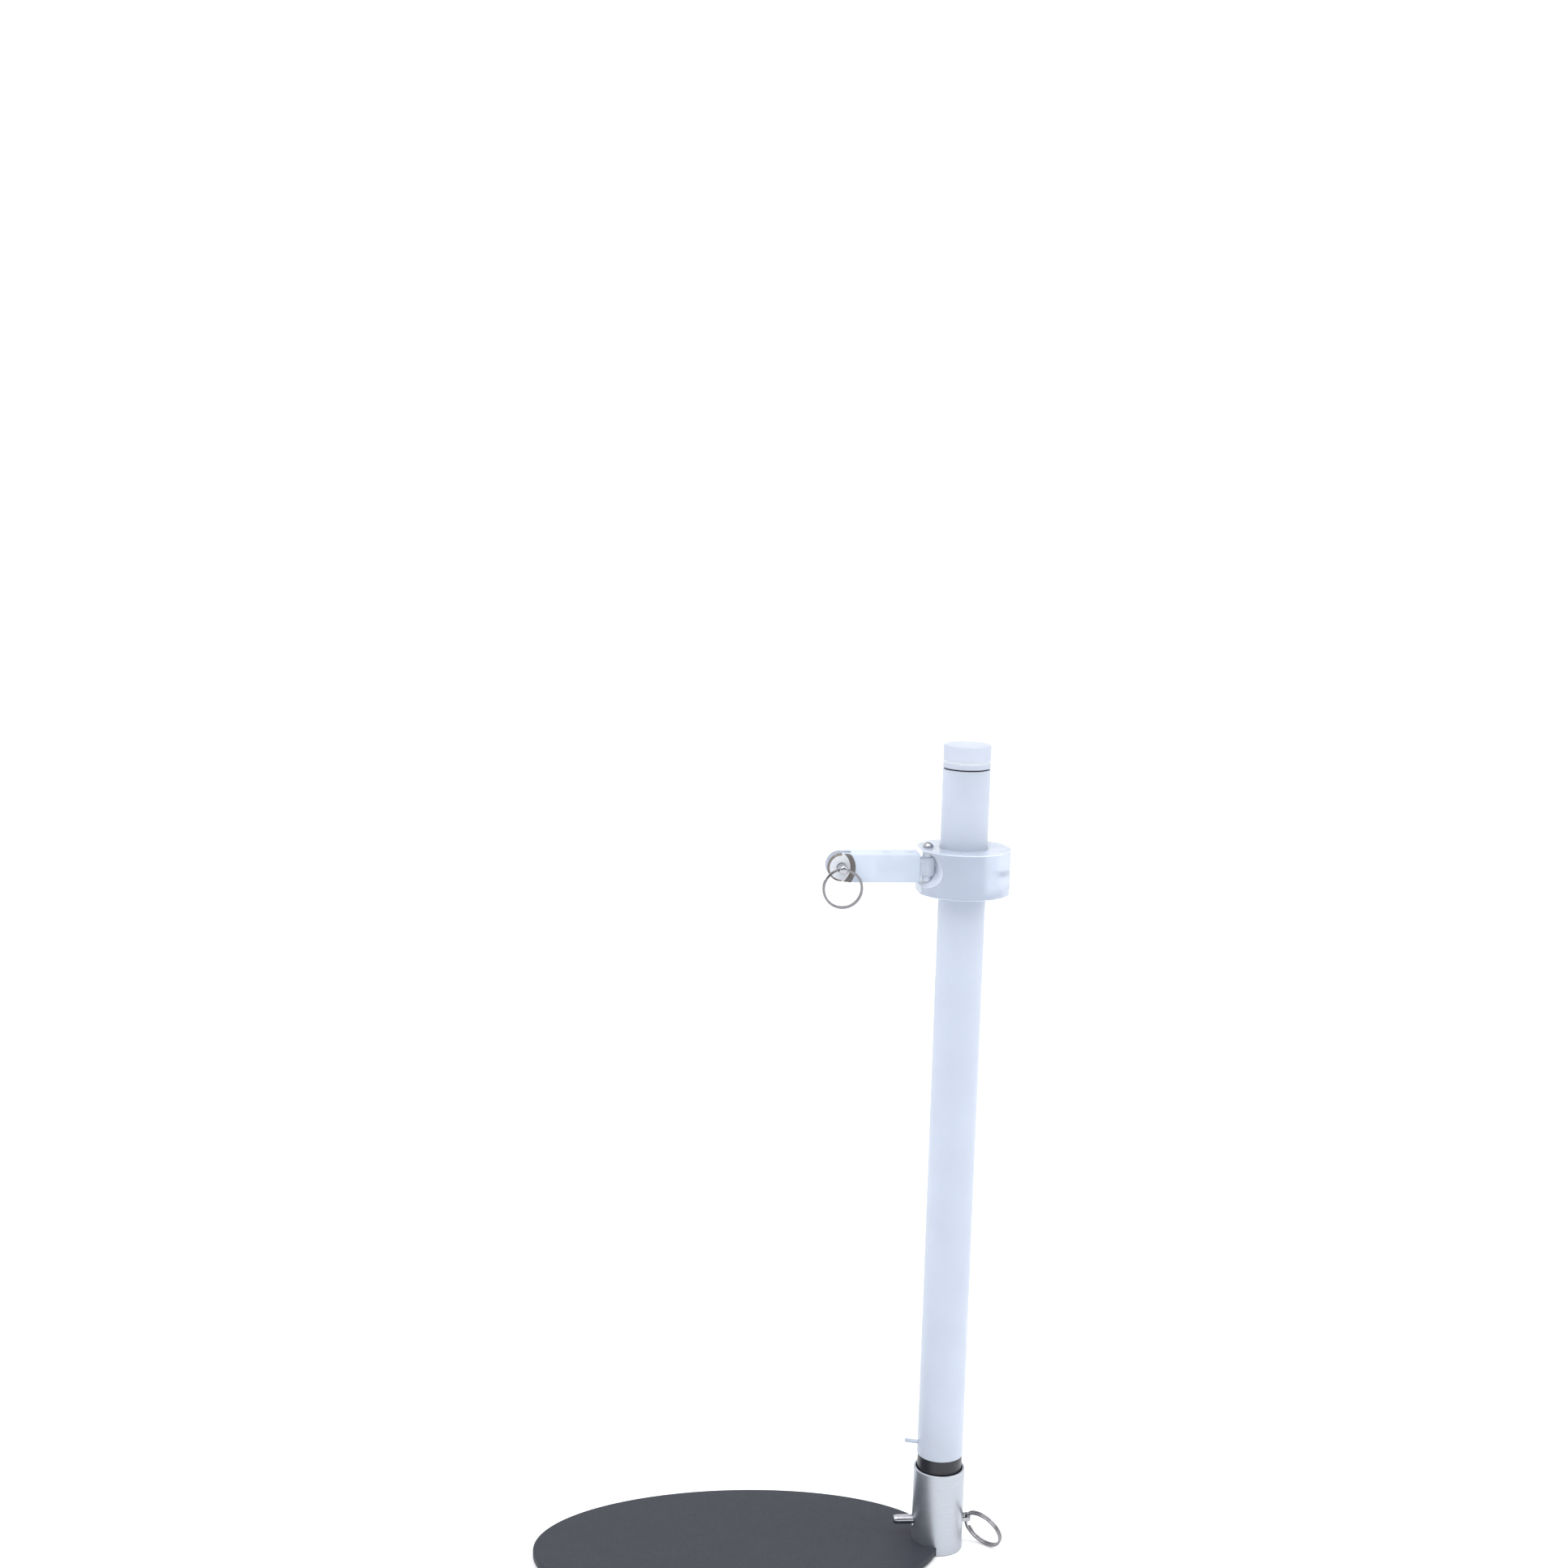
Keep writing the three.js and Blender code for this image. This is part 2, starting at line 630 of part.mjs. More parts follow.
const collarGroup = group(
  [MAST_X, 0, COLLAR_MID],
  mesh('collar', collar(), frosted),
  mesh('friction_ring_upper', frictionRing(FRICTION_RING_OFFSET), nylon),
  mesh('friction_ring_lower', frictionRing(-FRICTION_RING_OFFSET), nylon),
  mesh('set_screw', setScrew(), steel, [0, 0, -SET_SCREW_DROP]),
  mesh('set_screw_pad', setScrewPad(), nylon, [0, 0, -SET_SCREW_DROP]),
  armGroup,
);

const stand = new THREE.Group();
stand.add(baseGroup, mastGroup, collarGroup);

export default stand;
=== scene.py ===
"""Saxophone stand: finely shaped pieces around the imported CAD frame, in soft studio light.

Shapes are made in millimetres about a point of their own, and placed in metres from the frame.
"""

import json
import math

import bmesh
import bpy
from mathutils import Matrix, Vector

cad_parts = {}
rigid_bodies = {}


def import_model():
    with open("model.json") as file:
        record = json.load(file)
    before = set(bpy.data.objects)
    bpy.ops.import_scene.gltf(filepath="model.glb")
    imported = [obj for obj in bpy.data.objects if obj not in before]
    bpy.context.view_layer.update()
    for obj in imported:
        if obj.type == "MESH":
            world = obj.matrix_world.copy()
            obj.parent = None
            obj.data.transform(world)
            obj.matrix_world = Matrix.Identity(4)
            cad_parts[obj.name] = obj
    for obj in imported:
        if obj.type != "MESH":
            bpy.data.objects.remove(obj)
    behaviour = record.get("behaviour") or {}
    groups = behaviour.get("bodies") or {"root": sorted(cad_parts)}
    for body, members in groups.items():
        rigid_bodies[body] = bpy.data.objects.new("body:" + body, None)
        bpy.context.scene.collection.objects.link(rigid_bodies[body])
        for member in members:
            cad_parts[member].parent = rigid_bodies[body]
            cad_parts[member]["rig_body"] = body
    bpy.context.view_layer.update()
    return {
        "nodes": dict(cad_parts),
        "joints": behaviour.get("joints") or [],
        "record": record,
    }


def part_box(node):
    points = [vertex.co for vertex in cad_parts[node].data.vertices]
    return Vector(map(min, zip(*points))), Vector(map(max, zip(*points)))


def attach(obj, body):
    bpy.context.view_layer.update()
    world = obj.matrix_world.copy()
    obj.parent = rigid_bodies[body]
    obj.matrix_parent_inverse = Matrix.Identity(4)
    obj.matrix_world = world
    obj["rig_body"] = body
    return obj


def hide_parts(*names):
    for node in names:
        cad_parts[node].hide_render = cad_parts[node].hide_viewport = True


MM = 0.001

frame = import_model()
nodes = frame["nodes"]
joints = {joint["name"]: joint for joint in frame["joints"]}
slots = {entry["node"]: entry["material_slot"] for entry in frame["record"]["subparts"]}


# ---------------------------------------------------------------- dimensions, in millimetres

# How far a cutter reaches past the piece that it cuts
BEYOND = 60
# The play round a pin or a screw, and the thinner gap round a part that is pressed or glued in
CLEARANCE = 0.2
FIT_GAP = 0.1

PLATE_EDGE = 0.7
MAT_EDGE = 0.3
COUNTERSINK_WIDTH = 1.7
COUNTERSINK_HEIGHT = 2
OVAL_GAP = 0.2
SOCKET_BORE_RADIUS = 12.7
PIN_HOLE_FLARE = 1
PIN_HOLE_FLARE_DEPTH = 0.8

MAST_BORE_RADIUS = 9.5
SPIGOT_RADIUS = 9.3
PEG_TILT = math.radians(10)
PEG_HOLE_REACH = 9
PEG_BORE_DEPTH = 3
CAP_GROOVE_HEIGHT = 3.2
CAP_GROOVE_DEPTH = 0.35
CAP_GROOVE_RIM = 0.8
CAP_GROOVE_FLOOR = 0.4
CAP_POLISH_AND_HIGHLIGHT_REACH = 0.75

PIN_HEAD_FILLET = 1.6
PIN_NOSE_LENGTH = 1.7
PIN_NOSE_TAPER = 0.45
RING_HOLE_RADIUS = 1.5
RING_HOLE_FLARE = 0.7
RING_WIRE_WIDTH = 1.3
RING_WIRE_HEIGHT = 1.05
RING_WIRE_CORNER = 0.22
RING_COIL_GAP = 0.12
RING_GAP = math.radians(62)
RING_SPLAY = 0.45
RING_SPLAY_REACH = math.radians(70)

COLLAR_BORE_RADIUS = 12.75
COLLAR_POLISH_AND_HIGHLIGHT_REACH = 0.75
SLOT_RADIUS = 9.5
SLOT_CENTRE = 24.2
SLOT_PAINTED_LIGHT_REACH = 0.3
LIP_FACE = 8
POCKET_RADIUS = 4.3
SET_SCREW_KEY_RADIUS = 0.85
SET_SCREW_KEY_DEPTH = 1.6
PIVOT_HOLE_RADIUS = 1.7
PIVOT_SHANK_RADIUS = 1.5
PIVOT_HEAD_HEIGHT = 2.2
PIVOT_KEY_RADIUS = 1.2
PIVOT_KEY_DEPTH = 1.4

DOWELS = ("arm_dowel_inner", "arm_dowel_outer")
TENON_RADIUS = 4.5
NECK_HALF_WIDTH = 3.7
KNUCKLE_FILLET = 0.9
KNUCKLE_OVERLAP = 0.4
ARM_EDGE = 0.6
FORK_GAP = 5.2
FORK_GAP_BOTTOM = 39
FORK_GAP_RADIUS = 15
EAR_WIDTH = 10
EAR_CHAMFER = 1.1
COVE_RADIUS = 2.5
COVE_REACH = 12
COVE_OFFSET = 5

# How many flat steps stand for a full turn, or for a curve
FINE = 160
MEDIUM = 96
COARSE = 64
OVAL_SIDES = 240
COLLAR_SIDES = 192
HEXAGON = 6
RING_STEPS = 160
ARM_END_STEPS = 48
SMOOTH_ANGLE = math.radians(32)


# ---------------------------------------------------------------- camera

mast_low, mast_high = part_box("mast_tube")
MAST = Vector(((mast_low.x + mast_high.x) / 2, 0, 0))
CAMERA_OFFSET = Vector((-232.6, -1112.2, 605.4)) * MM
CAMERA_HEADING = math.radians(7.0)
CAMERA_PITCH = math.radians(9.1)
CAMERA_ROLL = math.radians(1.51)
SENSOR_WIDTH_MM = 36
LENS_MM = 50.3


def make_camera():
    forward = Vector((
        math.sin(CAMERA_HEADING) * math.cos(CAMERA_PITCH),
        math.cos(CAMERA_HEADING) * math.cos(CAMERA_PITCH),
        -math.sin(CAMERA_PITCH),
    ))
    level = Vector((math.cos(CAMERA_HEADING), -math.sin(CAMERA_HEADING), 0))
    up = level.cross(forward)
    right = level * math.cos(CAMERA_ROLL) + up * math.sin(CAMERA_ROLL)
    top = up * math.cos(CAMERA_ROLL) - level * math.sin(CAMERA_ROLL)
    camera = bpy.data.objects.new("camera", bpy.data.cameras.new("camera"))
    camera.data.sensor_width = SENSOR_WIDTH_MM
    camera.data.lens = LENS_MM
    camera.data.clip_start = 0.01
    camera.data.clip_end = 50
    bpy.context.scene.collection.objects.link(camera)
    turn = Matrix((right, top, -forward)).transposed().to_4x4()
    camera.matrix_world = Matrix.Translation(MAST + CAMERA_OFFSET) @ turn
    bpy.context.scene.camera = camera


make_camera()


# ---------------------------------------------------------------- materials

# Most of a noise lies between these two values
NOISE_LOW = 0.3
NOISE_HIGH = 0.7


class Nodes:
    """A material's node tree with short calls for the nodes used here."""

    def __init__(self, name):
        self.material = bpy.data.materials.new(name)
        self.material.use_nodes = True
        self.tree = self.material.node_tree
        self.shader = self.tree.nodes["Principled BSDF"]
        self.place = self.add("ShaderNodeTexCoord").outputs["Object"]

    def add(self, kind):
        return self.tree.nodes.new(kind)

    def link(self, source, target):
        self.tree.links.new(source, target)

    def paint(self, color):
        self.link(color, self.shader.inputs["Base Color"])

    def set(self, **values):
        for key, value in values.items():
            self.shader.inputs[key.replace("_", " ")].default_value = value

    def stretched(self, scale):
        mapping = self.add("ShaderNodeMapping")
        mapping.inputs["Scale"].default_value = scale
        self.link(self.place, mapping.inputs["Vector"])
        return mapping.outputs["Vector"]

    def noise(self, size_mm, detail=3, place=None, rough=0.5):
        node = self.add("ShaderNodeTexNoise")
        node.inputs["Scale"].default_value = 1 / (size_mm * MM)
        node.inputs["Detail"].default_value = detail
        node.inputs["Roughness"].default_value = rough
        self.link(place or self.place, node.inputs["Vector"])
        return node.outputs["Fac"]

    def ramp(self, source, *colors):
        """A noise as a blend of two colours."""
        node = self.add("ShaderNodeValToRGB")
        for element, position, color in zip(node.color_ramp.elements, (NOISE_LOW, NOISE_HIGH), colors):
            element.position = position
            element.color = color
        self.link(source, node.inputs["Fac"])
        return node.outputs["Color"]

    def mottled(self, base, size_mm, amount, detail=3):
        """The base colour, a little darker and lighter in patches."""
        return self.ramp(self.noise(size_mm, detail), shade(base, 1 - amount), shade(base, 1 + amount))

    def roughen(self, source, low, high):
        """Roughness that follows a noise, from low to high."""
        node = self.add("ShaderNodeMapRange")
        node.inputs["From Min"].default_value = NOISE_LOW
        node.inputs["From Max"].default_value = NOISE_HIGH
        node.inputs["To Min"].default_value = low
        node.inputs["To Max"].default_value = high
        self.link(source, node.inputs["Value"])
        self.link(node.outputs["Result"], self.shader.inputs["Roughness"])

    def bump(self, source, depth_mm, strength):
        node = self.add("ShaderNodeBump")
        node.inputs["Distance"].default_value = depth_mm * MM
        node.inputs["Strength"].default_value = strength
        self.link(source, node.inputs["Height"])
        self.link(node.outputs["Normal"], self.shader.inputs["Normal"])


def shade(color, factor):
    return (color[0] * factor, color[1] * factor, color[2] * factor, 1)


def powder_coat():
    mat = Nodes("powder_coat")
    mat.paint(mat.mottled((0.026, 0.029, 0.040), 9, 0.05, detail=5))
    grain = mat.noise(0.6, 2, rough=0.6)
    mat.roughen(grain, 0.5, 0.68)
    mat.set(Specular_IOR_Level=0.28)
    mat.bump(grain, 0.10, 0.8)
    return mat.material


def acrylic(name, base, clear, rough, grain_mm=0.5, depth_mm=0.03, patches_mm=24, gloss=0.5):
    """Acrylic: clear is how much light goes straight through, and rough is its frosting."""
    mat = Nodes(name)
    mat.paint(mat.mottled(base, patches_mm, 0.025))
    grain = mat.noise(grain_mm, 2)
    mat.roughen(grain, rough - 0.05, rough + 0.07)
    mat.set(Transmission_Weight=clear, IOR=1.49, Specular_IOR_Level=gloss)
    mat.bump(grain, depth_mm, 0.35)
    return mat.material


def metal(name, base, low, high, lines, streak_mm=3.0, depth_mm=0.012):
    """Metal with fine tool marks: a noise whose scale is multiplied by lines along X, Y and Z."""
    mat = Nodes(name)
    streaks = mat.noise(streak_mm, 4, mat.stretched(lines), 0.6)
    mat.paint(mat.ramp(streaks, shade(base, 0.9), shade(base, 1.05)))
    mat.roughen(streaks, low, high)
    mat.set(Metallic=1.0)
    mat.bump(streaks, depth_mm, 0.35)
    return mat.material


def moulded(name, base, low, high, grain_mm=0.7, depth_mm=0.02, patches=0.06):
    """Rubber or plastic from a mould. patches is how much its colour varies."""
    mat = Nodes(name)
    mat.paint(mat.mottled(base, 5, patches))
    grain = mat.noise(grain_mm, 2)
    mat.roughen(grain, low, high)
    mat.bump(grain, depth_mm, 0.4)
    return mat.material


FINISH = {
    "powder_coat": powder_coat(),
    "mat_rubber": moulded(
        "mat_rubber", (0.016, 0.016, 0.018), 0.75, 0.9, grain_mm=0.8, depth_mm=0.08, patches=0.25
    ),
    "aluminium": metal("aluminium", (0.46, 0.487, 0.535), 0.34, 0.46, (0.4, 0.4, 9)),
    "steel": metal("steel", (0.42, 0.42, 0.45), 0.10, 0.18, (0.4, 0.4, 4), streak_mm=2, depth_mm=0.006),
    "frosted_acrylic": acrylic("frosted_acrylic", (0.71, 0.77, 0.88), 0.45, 0.36, gloss=0.15),
    "clear_acrylic": acrylic("clear_acrylic", (0.615, 0.665, 0.775), 0.35, 0.38, gloss=0.3),
    "black_plastic": moulded("black_plastic", (0.010, 0.0105, 0.016), 0.3, 0.42),
    "nylon": moulded("nylon", (0.76, 0.80, 0.86), 0.4, 0.5),
}
SATIN = acrylic("satin_acrylic", (0.685, 0.75, 0.868), 0.6, 0.2, gloss=0.3)
OPAL = acrylic("opal_acrylic", (0.66, 0.73, 0.85), 0.32, 0.42, gloss=0.2)
# A paler copy of the acrylic for the collar's slot wall and the knuckle: painted light that lifts the
# shade inside the slot
SLOT_PAINTED_LIGHT = acrylic("slot_painted_light", (0.84, 0.89, 0.97), 0.35, 0.4, gloss=0.3)
WIRE = metal("ring_wire", (0.24, 0.235, 0.25), 0.12, 0.22, (1, 1, 1), streak_mm=2, depth_mm=0.006)
# Glossy polished acrylic whose paler colour is a painted highlight, for the collar's rounded edges and
# the cap's groove
POLISHED_HIGHLIGHT = acrylic("polished_acrylic_painted_highlight", (0.86, 0.91, 0.99), 0.5, 0.12, grain_mm=2, depth_mm=0.005)
# Polished clear acrylic coloured dark brown: painted shade for the coves behind the fork's ears and the
# rim round its end
COVE_PAINTED_SHADE = acrylic(
    "polished_cove_painted_shade", (0.20, 0.175, 0.16), 0.3, 0.12, grain_mm=2.5, depth_mm=0.001, patches_mm=4
)
EAR = acrylic("ear_face", (0.74, 0.76, 0.81), 0.15, 0.38)


# ---------------------------------------------------------------- shapes


def scratch(bm):
    """A bmesh as an object in the scene."""
    mesh = bpy.data.meshes.new("scratch")
    bm.to_mesh(mesh)
    bm.free()
    made = bpy.data.objects.new("scratch", mesh)
    bpy.context.scene.collection.objects.link(made)
    return made


def filleted(points, closed=False, steps=4):
    """Corners (a, b) or (a, b, fillet) as plain (a, b) points, with each fillet as an arc."""
    plain = []
    for i, point in enumerate(points):
        corner = Vector(point[:2])
        at_end = not closed and i in (0, len(points) - 1)
        if len(point) < 3 or at_end:
            plain.append(tuple(corner))
            continue
        radius = point[2]
        back = (Vector(points[i - 1][:2]) - corner).normalized()
        ahead = (Vector(points[(i + 1) % len(points)][:2]) - corner).normalized()
        half = math.acos(max(-1, min(1, back.dot(ahead)))) / 2
        reach = radius / math.tan(half)
        centre = corner + (back + ahead).normalized() * radius / math.sin(half)
        start = corner + back * reach - centre
        end = corner + ahead * reach - centre
        sweep = math.pi - 2 * half
        for step in range(steps + 1):
            share = step / steps
            near = math.sin((1 - share) * sweep) / math.sin(sweep)
            far = math.sin(share * sweep) / math.sin(sweep)
            plain.append(tuple(centre + start * near + end * far))
    return plain


def turned(corners, segments=MEDIUM, closed=False):
    """A turned solid about Z. Its corners are (radius, z, fillet), from the bottom up on the outside."""
    profile = filleted(corners, closed)
    bm = bmesh.new()
    on_axis = {i: bm.verts.new((0, 0, z)) for i, (radius, z) in enumerate(profile) if radius < 1e-6}
    columns = []
    for k in range(segments):
        angle = 2 * math.pi * k / segments
        columns.append([
            on_axis.get(i) or bm.verts.new((radius * math.cos(angle), radius * math.sin(angle), z))
            for i, (radius, z) in enumerate(profile)
        ])
    last = len(profile) if closed else len(profile) - 1
    for k, here in enumerate(columns):
        there = columns[(k + 1) % segments]
        for i in range(last):
            j = (i + 1) % len(profile)
            corner = list(dict.fromkeys((here[i], there[i], there[j], here[j])))
            if len(corner) > 2:
                bm.faces.new(corner)
    return scratch(bm)


def tube(bore, radius, half, foot_fillets, rim_fillets, segments=FINE):
    """A tube about Z, from -half to half. Each pair of fillets is for the inner and the outer edge."""
    return turned(
        [
            (bore, -half, foot_fillets[0]),
            (radius, -half, foot_fillets[1]),
            (radius, half, rim_fillets[1]),
            (bore, half, rim_fillets[0]),
        ],
        segments,
        closed=True,
    )


def rod(radius, low, high, segments=COARSE, fillet=0.0):
    if not fillet:
        return turned([(0, low), (radius, low), (radius, high), (0, high)], segments)
    return turned([(0, low), (radius, low, fillet), (radius, high, fillet), (0, high)], segments)


def inset(outline, amount):
    """A counterclockwise outline moved inwards."""
    moved = []
    for i, point in enumerate(outline):
        here = Vector(point)
        before = (here - Vector(outline[i - 1])).normalized()
        after = (Vector(outline[(i + 1) % len(outline)]) - here).normalized()
        out_before = Vector((before.y, -before.x))
        out_after = Vector((after.y, -after.x))
        miter = (out_before + out_after) / (1 + out_before.dot(out_after))
        moved.append(here - miter * amount)
    return moved


def slab(outline, low, high, edge=0.0, steps=3):
    """A counterclockwise outline raised from z = low to z = high, with rounded edges."""
    layers = [(0, low), (0, high)]
    if edge:
        quarter = [math.pi / 2 * step / steps for step in range(steps + 1)]
        rise = [(edge * (1 - math.sin(a)), edge * (1 - math.cos(a))) for a in quarter]
        layers = [(back, low + up) for back, up in rise]
        layers += [(back, high - up) for back, up in reversed(rise)]
    bm = bmesh.new()
    rows = [[bm.verts.new((p[0], p[1], z)) for p in inset(outline, back)] for back, z in layers]
    count = len(outline)
    for lower, upper in zip(rows, rows[1:]):
        for i in range(count):
            j = (i + 1) % count
            bm.faces.new((lower[i], lower[j], upper[j], upper[i]))
    bm.faces.new(list(reversed(rows[0])))
    bm.faces.new(rows[-1])
    return scratch(bm)


def block(low, high):
    (x0, y0, z0), (x1, y1, z1) = low, high
    return slab([(x0, y0), (x1, y0), (x1, y1), (x0, y1)], z0, z1)


def oval(half_length, half_width, count=FINE):
    angles = [2 * math.pi * k / count for k in range(count)]
    return [(half_length * math.cos(a), half_width * math.sin(a)) for a in angles]


def shifted(shape, x=0.0, y=0.0, z=0.0):
    shape.data.transform(Matrix.Translation((x, y, z)))
    return shape


def rotated(shape, degrees, axis):
    shape.data.transform(Matrix.Rotation(math.radians(degrees), 4, axis))
    return shape


def along_x(shape):
    return rotated(shape, 90, "Y")


def along_y(shape):
    return rotated(shape, -90, "X")


def combined(body, operation, tools):
    """A body with tools cut from it or joined to it. The tools are used up."""
    for tool in tools:
        step = body.modifiers.new(operation, "BOOLEAN")
        step.operation = operation
        step.solver = "EXACT"
        step.object = tool
    graph = bpy.context.evaluated_depsgraph_get()
    graph.update()
    mesh = bpy.data.meshes.new_from_object(body.evaluated_get(graph))
    body.modifiers.clear()
    body.data = mesh
    for tool in tools:
        bpy.data.objects.remove(tool)
    return body


def cut(body, *tools):
    return combined(body, "DIFFERENCE", tools)


def joined(body, *tools):
    return combined(body, "UNION", tools)


def middle(node):
    """A node's middle, in metres."""
    low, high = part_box(node)
    return (low + high) / 2


def size(node):
    """A node's size along X, Y and Z, in millimetres."""
    low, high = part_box(node)
    return (high - low) / MM


def piece_for(node, shape, place, turn=None, material=None):
    """Puts a shape, made in millimetres, in the place of a CAD node."""
    shape.name = shape.data.name = node + "_fine"
    shape.data.transform(Matrix.Scale(MM, 4))
    shape.matrix_world = Matrix.Translation(place) @ (turn or Matrix.Identity(4))
    shape.data.materials.clear()
    shape.data.materials.append(material or FINISH[slots[node]])
    for face in shape.data.polygons:
        face.material_index = 0
    smooth(shape)
    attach(shape, nodes[node]["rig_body"])
    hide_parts(node)
    return shape


def smooth(shape):
    shape.data.shade_smooth()
    shape.data.set_sharp_from_angle(angle=SMOOTH_ANGLE)
    weighted = shape.modifiers.new("even_shading", "WEIGHTED_NORMAL")
    weighted.keep_sharp = True


def refinish(piece, material, chosen):
    """Gives the faces that chosen(centre in millimetres, normal) picks another finish."""
    piece.data.materials.append(material)
    index = len(piece.data.materials) - 1
    for face in piece.data.polygons:
        if chosen(face.center / MM, face.normal):
            face.material_index = index


def threaded(radius, low, high, pitch=0.5, depth=0.28):
    """The profile of a screw's thread as grooves, from low to high. Crests are flat."""
    turns = round((high - low) / pitch)
    step = (high - low) / turns
    profile = []
    for k in range(turns):
        z = low + k * step
        profile += [(radius - depth, z), (radius, z + step * 0.35), (radius, z + step * 0.65)]
    return profile + [(radius - depth, high)]


# ---------------------------------------------------------------- base and socket


def make_base():
    mat = size("base_mat")
    outline = oval(mat.x / 2, mat.y / 2)
    piece_for("base_mat", slab(outline, -mat.z / 2, mat.z / 2, MAT_EDGE), middle("base_mat"))

    plate = size("base_plate")
    centre = middle("base_plate")
    body = slab(oval(plate.x / 2, plate.y / 2, OVAL_SIDES), -plate.z / 2, plate.z / 2, PLATE_EDGE)
    holes = [screw_hole(name, centre) for name in ("base_screw_front", "base_screw_back")]
    piece_for("base_plate", cut(body, *holes), centre)


def screw_hole(name, centre):
    """A cutter for the countersunk hole round a base screw."""
    head = size(name).x / 2 + CLEARANCE
    shank = head - COUNTERSINK_WIDTH
    foot = (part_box(name)[0].z - centre.z) / MM
    at = (middle(name) - centre) / MM
    cutter = turned([
        (0, -BEYOND), (head, -BEYOND), (head, foot),
        (shank, foot + COUNTERSINK_HEIGHT), (shank, BEYOND), (0, BEYOND),
    ], COARSE)
    return shifted(cutter, at.x, at.y)


def make_socket():
    """A tube with a step that sits on the plate's tip, and a flared hole for its pin."""
    centre = middle("socket_tube")
    half = size("socket_tube").z / 2
    radius = size("socket_tube").x / 2
    body = tube(SOCKET_BORE_RADIUS, radius, half, foot_fillets=(0.2, 0.4), rim_fillets=(0.35, 0.6))
    plate = size("base_plate")
    plate_top = (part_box("base_plate")[1].z - centre.z) / MM
    step = slab(oval(plate.x / 2 + OVAL_GAP, plate.y / 2 + OVAL_GAP, OVAL_SIDES), -BEYOND, plate_top)
    shifted(step, -centre.x / MM)
    pin = size("socket_pin").z / 2 + CLEARANCE
    mouth = pin + PIN_HOLE_FLARE
    neck = radius - PIN_HOLE_FLARE_DEPTH
    surface = radius + FIT_GAP
    flare = turned([
        (0, -BEYOND), (mouth, -BEYOND), (mouth, -surface), (pin, -neck),
        (pin, neck), (mouth, surface), (mouth, BEYOND), (0, BEYOND),
    ])
    hole = shifted(along_x(flare), z=(middle("socket_pin").z - centre.z) / MM)
    piece_for("socket_tube", cut(body, step, hole), centre)


# ---------------------------------------------------------------- mast


def make_mast():
    """A tube with a hole for the peg in its wall."""
    centre = middle("mast_tube")
    half = size("mast_tube").z / 2
    radius = size("mast_tube").x / 2
    body = tube(MAST_BORE_RADIUS, radius, half, foot_fillets=(0.2, 0.4), rim_fillets=(0.2, 0.25))
    peg_at = (middle("rest_peg") - centre) / MM
    peg_hole = rod(peg_radius() + CLEARANCE, -PEG_HOLE_REACH, PEG_HOLE_REACH)
    rotated(peg_hole, math.degrees(PEG_TILT) - 90, "Y")
    shifted(peg_hole, peg_at.x, 0, peg_at.z)
    piece_for("mast_tube", cut(body, peg_hole), centre)


def peg_radius():
    return size("rest_peg").y / 2


def make_peg():
    """A leaning rod with a small hole in its end. Its box along X is length x cos + diameter x sin."""
    radius = peg_radius()
    bore = radius / 2
    half = (size("rest_peg").x - 2 * radius * math.sin(PEG_TILT)) / math.cos(PEG_TILT) / 2
    peg = turned([
        (0, -half), (radius, -half, 0.2), (radius, half, 0.5),
        (bore, half, 0.15), (bore, half - PEG_BORE_DEPTH), (0, half - PEG_BORE_DEPTH),
    ], COARSE)
    turn = Matrix.Rotation(PEG_TILT - math.pi / 2, 4, "Y")
    piece_for("rest_peg", peg, middle("rest_peg"), turn)


def make_cap():
    """A top piece with a polished groove round it, whose paler colour is a painted highlight, and a
    spigot below its shoulder.
    """
    centre = middle("mast_cap")
    half = size("mast_cap").z / 2
    radius = size("mast_cap").x / 2
    shoulder = (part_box("mast_gasket")[1].z - centre.z) / MM
    groove = shoulder + CAP_GROOVE_HEIGHT
    floor = radius - CAP_GROOVE_DEPTH
    cap = turned([
        (0, -half),
        (SPIGOT_RADIUS, -half, 0.6),
        (SPIGOT_RADIUS, shoulder),
        (radius, shoulder, 0.3),
        (radius, groove - CAP_GROOVE_RIM, 0.2),
        (floor, groove - CAP_GROOVE_FLOOR, 0.2),
        (floor, groove + CAP_GROOVE_FLOOR, 0.2),
        (radius, groove + CAP_GROOVE_RIM, 0.2),
        (radius, half, 1.0),
        (0, half),
    ], FINE)
    piece = piece_for("mast_cap", cap, centre)

    def on_groove_highlight(at, normal):
        return abs(at.z - groove) < CAP_POLISH_AND_HIGHLIGHT_REACH and at.xy.length > radius - 1

    # The groove gets the polished finish and its painted highlight
    refinish(piece, POLISHED_HIGHLIGHT, on_groove_highlight)


def make_bottom_plug():
    """The mast's foot, with a hole for the socket's pin and a spigot above its shoulder."""
    centre = middle("mast_bottom_plug")
    half = size("mast_bottom_plug").z / 2
    radius = size("mast_bottom_plug").x / 2
    hole = along_x(rod(size("socket_pin").z / 2 + CLEARANCE, -BEYOND, BEYOND))
    shifted(hole, z=(middle("socket_pin").z - centre.z) / MM)
    shoulder = (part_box("mast_tube")[0].z - centre.z) / MM - FIT_GAP
    plug = turned([
        (0, -half), (radius, -half, 0.6), (radius, shoulder, 0.3),
        (SPIGOT_RADIUS, shoulder), (SPIGOT_RADIUS, half, 0.5), (0, half),
    ], FINE)
    piece_for("mast_bottom_plug", cut(plug, hole), centre)


# ---------------------------------------------------------------- pins and split rings


